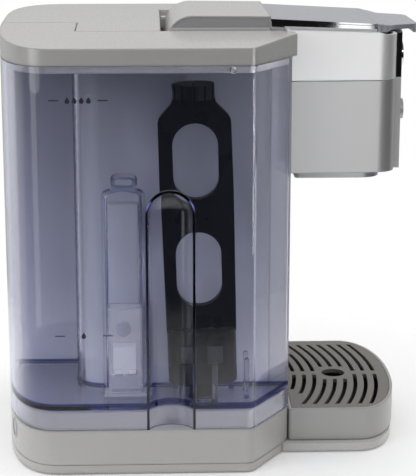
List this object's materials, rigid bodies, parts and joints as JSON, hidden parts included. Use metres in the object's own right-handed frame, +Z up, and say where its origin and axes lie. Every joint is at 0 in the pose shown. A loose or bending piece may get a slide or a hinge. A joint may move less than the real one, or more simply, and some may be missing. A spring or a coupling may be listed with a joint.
{
  "type": "pod coffee machine",
  "caption": "Single-serve pod coffee machine: clear water tank round the left side and rear, silver brew head with lifting lid, slotted drip tray under it.",
  "frame": {"origin": "centre of the overall footprint, on the table under the feet", "axes": "+X to the machine's right as its user faces it, +Y to the rear, +Z up; the brew head faces -Y and the tank is on the -X side"},
  "size_m": [0.25, 0.3042, 0.3174],
  "materials": {
    "warm_grey_plastic": "fine texture",
    "silver_paint": "satin silver",
    "dark_silver": "satin",
    "chrome_trim": "polished",
    "blue_grey": "satin",
    "clear_tank": "clear smoke blue",
    "clear_plastic": "clear",
    "black_plastic": "matt",
    "rubber_black": "matt",
    "steel": "brushed",
    "pump_body": "zinc passivated",
    "board_green": "coated",
    "hose": "translucent silicone",
    "white_plastic": "matt",
    "lens_blue": "clear",
    "seal_red": "matt"
  },
  "bodies": {
    "machine": {"base_housing": "warm_grey_plastic", "bottom_plate": "black_plastic", "rubber_feet": "rubber_black", "base_screws": "steel", "tank_inlet": "black_plastic", "screw_cap": "dark_silver", "cord_gland": "rubber_black", "tray_shelf": "warm_grey_plastic", "side_shell": "warm_grey_plastic", "inner_wall": "warm_grey_plastic", "front_column": "warm_grey_plastic", "top_cover": "warm_grey_plastic", "head_lower_housing": "silver_paint", "head_upper_housing": "silver_paint", "head_bottom_pan": "dark_silver", "front_plate_lower": "silver_paint", "front_plate_upper": "chrome_trim", "brew_button_ring": "chrome_trim", "indicator_lenses": "lens_blue", "button_board": "board_green", "head_deck": "black_plastic", "lid_hinge_pins": "steel", "pod_holder": "black_plastic", "lower_needle": "steel", "outlet_spout": "black_plastic", "water_pump": "pump_body", "boiler": "steel", "boiler_thermostat": "black_plastic", "cold_hose": "hose", "pump_hose": "hose", "hot_hose": "hose", "control_board": "board_green", "float_sensor": "black_plastic"},
    "brew_button": {"brew_button": "chrome_trim"},
    "size_button_small": {"size_button_small": "dark_silver"},
    "size_button_medium": {"size_button_medium": "dark_silver"},
    "size_button_large": {"size_button_large": "dark_silver"},
    "power_button": {"power_button": "black_plastic"},
    "head_lid": {"lid_rear_cover": "warm_grey_plastic", "lid_front_plate": "blue_grey", "lid_chrome_bands": "chrome_trim", "lid_side_panels": "dark_silver", "lid_handle": "blue_grey", "lid_liner": "black_plastic", "lid_latch": "steel", "lid_water_tube": "hose", "upper_needle": "steel", "pod_seal": "seal_red"},
    "tank": {"tank_body": "clear_tank", "filter_handle": "black_plastic", "filter_cup": "black_plastic", "filter_cartridge": "white_plastic", "float_cage": "clear_plastic", "valve_spring": "steel"},
    "tank_lid": {"tank_lid": "warm_grey_plastic"},
    "filter_dial": {"filter_dial": "black_plastic"},
    "float": {"float_block": "white_plastic"},
    "valve": {"valve_poppet": "white_plastic"},
    "drip_tray": {"drip_tray": "warm_grey_plastic"},
    "drip_plate": {"drip_plate": "dark_silver"}
  },
  "joints": [
    {"name": "lid_hinge", "type": "hinge", "parent": "machine", "child": "head_lid", "pos_m": [0, 0.0147, 0.2984], "axis": [-1, 0, 0], "range_deg": [0, 75]},
    {"name": "brew_button_press", "type": "slide", "parent": "machine", "child": "brew_button", "axis": [0, 1, 0], "range_m": [0, 0.0015], "stiffness_N_per_m": 400},
    {"name": "size_button_small_press", "type": "slide", "parent": "machine", "child": "size_button_small", "axis": [0, 1, 0], "range_m": [0, 0.0015], "stiffness_N_per_m": 400},
    {"name": "size_button_medium_press", "type": "slide", "parent": "machine", "child": "size_button_medium", "axis": [0, 1, 0], "range_m": [0, 0.0015], "stiffness_N_per_m": 400},
    {"name": "size_button_large_press", "type": "slide", "parent": "machine", "child": "size_button_large", "axis": [0, 1, 0], "range_m": [0, 0.0015], "stiffness_N_per_m": 400},
    {"name": "power_button_press", "type": "slide", "parent": "machine", "child": "power_button", "axis": [0, 1, 0], "range_m": [0, 0.0015], "stiffness_N_per_m": 400},
    {"name": "tank_lift", "type": "slide", "parent": "machine", "child": "tank", "axis": [0, 0, 1], "range_m": [0, 0.3]},
    {"name": "tank_lid_lift", "type": "slide", "parent": "tank", "child": "tank_lid", "axis": [0, 0, 1], "range_m": [0, 0.06]},
    {"name": "filter_dial_turn", "type": "hinge", "parent": "tank", "child": "filter_dial", "pos_m": [-0.1, 0.0087, 0.0512], "axis": [0, 0.0314, 0.9995], "continuous": true},
    {"name": "float_rise", "type": "slide", "parent": "tank", "child": "float", "axis": [0, 0, 1], "range_m": [0, 0.027]},
    {"name": "valve_lift", "type": "slide", "parent": "tank", "child": "valve", "axis": [0, 0, 1], "range_m": [0, 0.003], "stiffness_N_per_m": 120, "deforming": ["valve_spring"]},
    {"name": "tray_slide", "type": "slide", "parent": "machine", "child": "drip_tray", "axis": [0, -1, 0], "range_m": [0, 0.12]},
    {"name": "plate_lift", "type": "slide", "parent": "drip_tray", "child": "drip_plate", "axis": [0, 0, 1], "range_m": [0, 0.03]}
  ]
}
